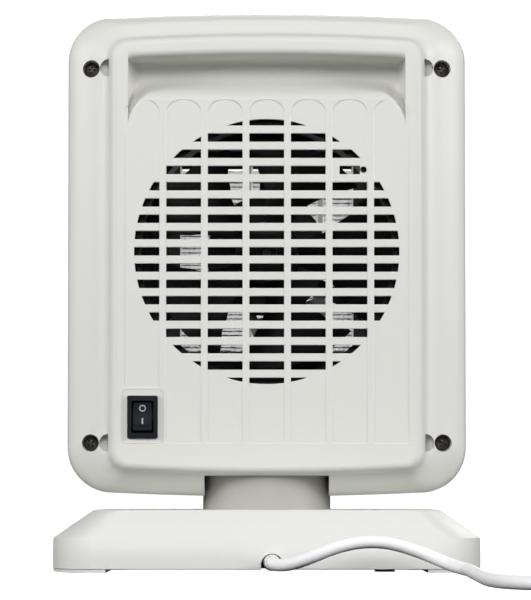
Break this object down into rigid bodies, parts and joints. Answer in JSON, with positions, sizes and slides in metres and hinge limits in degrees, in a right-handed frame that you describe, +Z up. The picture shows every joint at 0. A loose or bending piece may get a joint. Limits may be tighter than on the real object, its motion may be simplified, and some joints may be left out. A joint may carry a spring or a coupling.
{
  "type": "ceramic space heater",
  "caption": "Upright ceramic fan heater with a slotted rear inlet, handle recess and rocker switch, on a round neck that swings above a wide low base.",
  "frame": {"origin": "on the floor, under the neck, at the middle of the base", "axes": "+Z up, the hot-air outlet faces -Y and the air inlet faces +Y"},
  "size_m": [0.3028, 0.5033, 0.2776],
  "materials": {
    "shell_plastic": "fine moulded texture, warm light grey",
    "base_plastic": "fine moulded texture, warm light grey",
    "inner_plastic": "plain moulded",
    "black_plastic": "satin",
    "switch_plastic": "semi gloss",
    "grey_plastic": "satin",
    "signal_plastic": "clear tinted",
    "white_nylon": "waxy",
    "screw_steel": "dark passivated",
    "steel": "plated",
    "lamination": "varnished laminations",
    "copper": "enamelled wire",
    "bronze": "sintered",
    "fin_aluminium": "bright",
    "ptc_ceramic": "fired ceramic",
    "wire_jacket": "pvc",
    "cord_jacket": "smooth pvc",
    "foot_rubber": "matt"
  },
  "bodies": {
    "base": {"base_shell": "base_plastic", "base_plate": "base_plastic", "base_feet": "foot_rubber", "base_screws": "screw_steel", "base_inner_screws": "steel", "ballast_plate": "steel", "neck_column": "base_plastic", "swing_motor": "steel", "cord_grip": "cord_jacket", "cord_clamp": "inner_plastic", "terminal_block": "white_nylon", "base_leads": "wire_jacket", "tip_switch": "black_plastic", "swivel_washer": "white_nylon", "mains_cord": "cord_jacket", "cord_coil": "cord_jacket", "coil_tie": "black_plastic", "plug_body": "cord_jacket", "plug_blades": "bronze"},
    "head": {"front_housing": "shell_plastic", "rear_cover": "shell_plastic", "cover_screws": "screw_steel", "front_panel": "shell_plastic", "outlet_grille": "grey_plastic", "swivel_spindle": "white_nylon", "spindle_screws": "steel", "sector_gear": "white_nylon", "spindle_ring": "steel", "fan_shroud": "black_plastic", "motor_mount": "black_plastic", "motor_stator": "lamination", "motor_coil": "copper", "motor_endbells": "steel", "motor_bushes": "bronze", "heat_duct": "steel", "ptc_frame": "black_plastic", "ptc_fins": "fin_aluminium", "ptc_bars": "ptc_ceramic", "ptc_terminals": "bronze", "thermal_cutout": "ptc_ceramic", "mode_switch": "black_plastic", "thermostat": "ptc_ceramic", "swing_switch": "black_plastic", "indicator_lens": "signal_plastic", "head_loom": "wire_jacket", "power_switch": "switch_plastic"},
    "fan": {"fan_impeller": "black_plastic", "motor_rotor": "lamination", "motor_shaft": "steel"},
    "pinion": {"drive_pinion": "white_nylon"},
    "rocker": {"power_rocker": "switch_plastic"},
    "mode_control": {"mode_knob": "grey_plastic", "mode_shaft": "steel"},
    "thermostat_control": {"thermostat_knob": "grey_plastic", "thermostat_shaft": "steel"},
    "swing_push": {"swing_button": "grey_plastic"},
    "tip_feeler": {"tip_plunger": "white_nylon"}
  },
  "joints": [
    {"name": "head_swing", "type": "hinge", "parent": "base", "child": "head", "pos_m": [0, 0, 0.04], "axis": [0, 0, 1], "range_deg": [-35, 35]},
    {"name": "pinion_spin", "type": "hinge", "parent": "base", "child": "pinion", "pos_m": [0, -0.035, 0.02], "axis": [0, 0, 1], "range_deg": [-88, 88]},
    {"name": "fan_spin", "type": "hinge", "parent": "head", "child": "fan", "pos_m": [0, 0, 0.1572], "axis": [0, 1, 0], "continuous": true},
    {"name": "power_rock", "type": "hinge", "parent": "head", "child": "rocker", "pos_m": [0.0609, 0.0378, 0.0758], "axis": [-1, 0, 0], "range_deg": [0, 20]},
    {"name": "mode_turn", "type": "hinge", "parent": "head", "child": "mode_control", "pos_m": [0.055, -0.07, 0.24], "axis": [0, -1, 0], "range_deg": [-180, 0]},
    {"name": "thermostat_turn", "type": "hinge", "parent": "head", "child": "thermostat_control", "pos_m": [-0.055, -0.07, 0.24], "axis": [0, -1, 0], "range_deg": [-270, 0]},
    {"name": "swing_press", "type": "slide", "parent": "head", "child": "swing_push", "axis": [0, 1, 0], "range_m": [0, 0.003], "stiffness_N_per_m": 400, "springref_m": -0.001},
    {"name": "tip_drop", "type": "slide", "parent": "base", "child": "tip_feeler", "axis": [0, 0, 1], "range_m": [-0.004, 0], "stiffness_N_per_m": 60, "springref_m": -0.006}
  ],
  "couplings": [
    {"joint": "pinion_spin", "follows": "head_swing", "ratio": -2.5}
  ]
}
